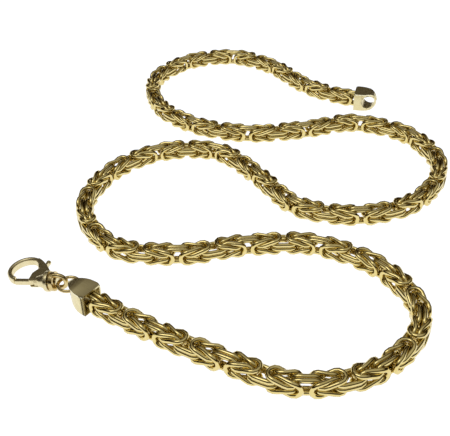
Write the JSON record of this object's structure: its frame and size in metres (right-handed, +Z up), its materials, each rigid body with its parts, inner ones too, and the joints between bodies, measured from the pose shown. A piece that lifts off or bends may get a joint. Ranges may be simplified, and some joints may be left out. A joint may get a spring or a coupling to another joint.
{
  "type": "byzantine neck chain",
  "caption": "Gold byzantine neck chain laid open in a serpentine, with two end caps, jump ring, swivel eye and lobster clasp.",
  "frame": {"origin": "middle of the part's footprint, on the surface that it lies on", "axes": "+Z up, +Y away from the picture's viewer; the serpentine winds along Y and the clasp is at the front left"},
  "size_m": [0.1181, 0.1635, 0.0058],
  "materials": {
    "chain_gold": "polished yellow gold wire",
    "cap_gold": "brushed yellow gold with a polished rim",
    "finding_gold": "polished yellow gold",
    "clasp_gold": "finely brushed yellow gold"
  },
  "bodies": {
    "necklace": {"chain_front": "chain_gold", "chain_back": "chain_gold", "front_cap": "cap_gold", "back_cap": "cap_gold", "jump_ring": "finding_gold", "swivel_eye": "finding_gold"},
    "clasp": {"clasp_body": "clasp_gold"},
    "lever": {"clasp_lever": "clasp_gold"}
  },
  "joints": [
    {"name": "clasp_swivel", "type": "hinge", "parent": "necklace", "child": "clasp", "pos_m": [-0.04743, -0.04482, 0.00266], "axis": [-0.97, 0.2062, -0.129], "continuous": true},
    {"name": "gate_lever", "type": "hinge", "parent": "clasp", "child": "lever", "pos_m": [-0.05089, -0.04439, 0.00221], "axis": [0.1261, -0.0268, -0.9916], "range_deg": [0, 24], "stiffness_Nm_per_rad": 0.004, "springref_deg": -20.05}
  ]
}
